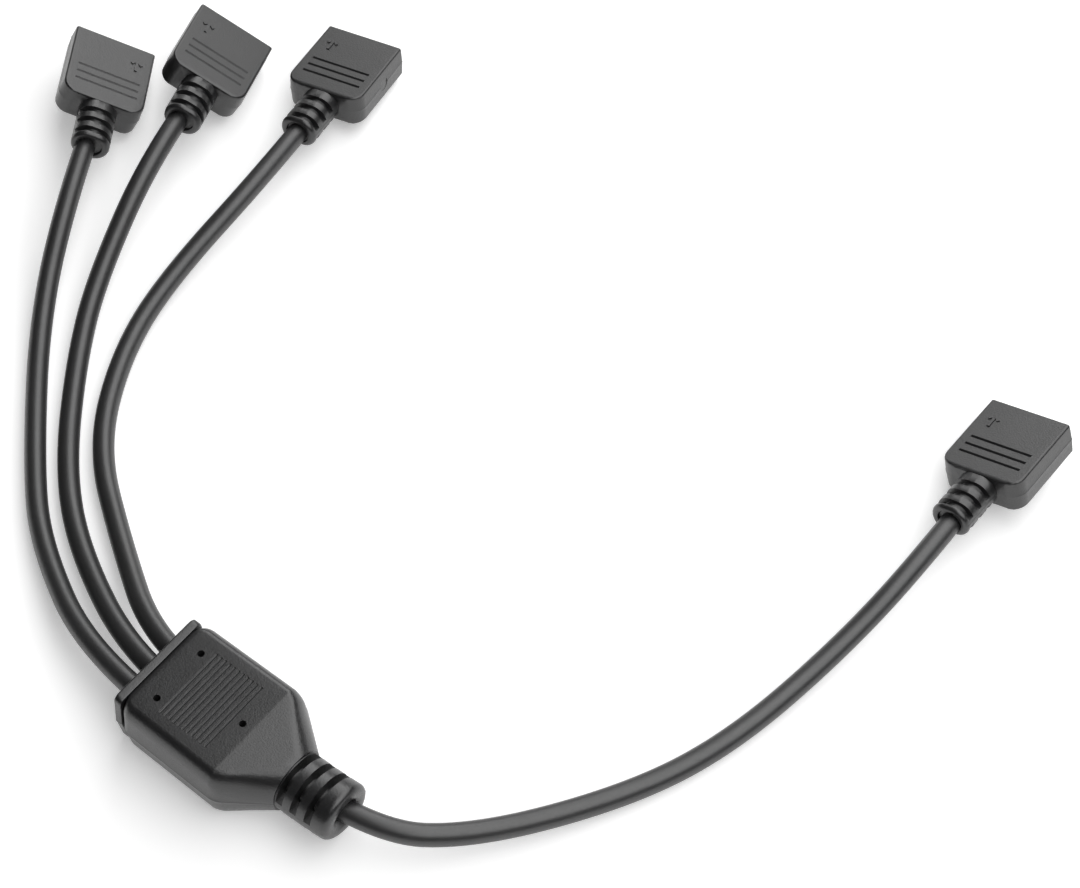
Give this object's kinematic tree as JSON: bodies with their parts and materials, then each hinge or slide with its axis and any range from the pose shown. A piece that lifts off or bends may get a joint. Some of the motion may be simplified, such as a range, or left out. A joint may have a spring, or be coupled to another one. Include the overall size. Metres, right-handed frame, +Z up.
{
  "type": "lighting splitter cable",
  "caption": "Splitter cable for low-voltage colour light strips: a moulded flat hub with a tapering strain relief joins an input lead to output leads, all ending in flat socket plugs.",
  "frame": {"origin": "on the surface that the cable lies on, under the middle of the moulded hub", "axes": "+X along the hub from the collar of the output leads to the strain relief of the input lead, +Z up, +Y to the side that the plugs lie on"},
  "size_m": [0.1807, 0.1298, 0.0134],
  "materials": {
    "moulded_pvc": "soft black PVC overmould with a fine eroded mould texture",
    "cord_jacket": "extruded black PVC jacket with a satin sheen",
    "socket_plastic": "black glass-filled connector plastic",
    "contact_brass": "folded spring brass, tinned bright",
    "core_insulation": "insulated stranded cores inside the mouldings, never seen",
    "board": "glass-epoxy junction board inside the hub, never seen"
  },
  "bodies": {
    "root": {"hub_housing": "moulded_pvc", "hub_board": "board", "hub_cores_input": "core_insulation", "hub_cores_left": "core_insulation", "hub_cores_middle": "core_insulation", "hub_cores_right": "core_insulation", "cord_input": "cord_jacket", "cord_left": "cord_jacket", "cord_middle": "cord_jacket", "cord_right": "cord_jacket", "plug_left_housing": "moulded_pvc", "plug_left_socket": "socket_plastic", "plug_left_contact_1": "contact_brass", "plug_left_contact_2": "contact_brass", "plug_left_contact_3": "contact_brass", "plug_left_contact_4": "contact_brass", "plug_left_cores": "core_insulation", "plug_middle_housing": "moulded_pvc", "plug_middle_socket": "socket_plastic", "plug_middle_contact_1": "contact_brass", "plug_middle_contact_2": "contact_brass", "plug_middle_contact_3": "contact_brass", "plug_middle_contact_4": "contact_brass", "plug_middle_cores": "core_insulation", "plug_right_housing": "moulded_pvc", "plug_right_socket": "socket_plastic", "plug_right_contact_1": "contact_brass", "plug_right_contact_2": "contact_brass", "plug_right_contact_3": "contact_brass", "plug_right_contact_4": "contact_brass", "plug_right_cores": "core_insulation", "plug_input_housing": "moulded_pvc", "plug_input_socket": "socket_plastic", "plug_input_contact_1": "contact_brass", "plug_input_contact_2": "contact_brass", "plug_input_contact_3": "contact_brass", "plug_input_contact_4": "contact_brass", "plug_input_cores": "core_insulation"}
  },
  "joints": []
}
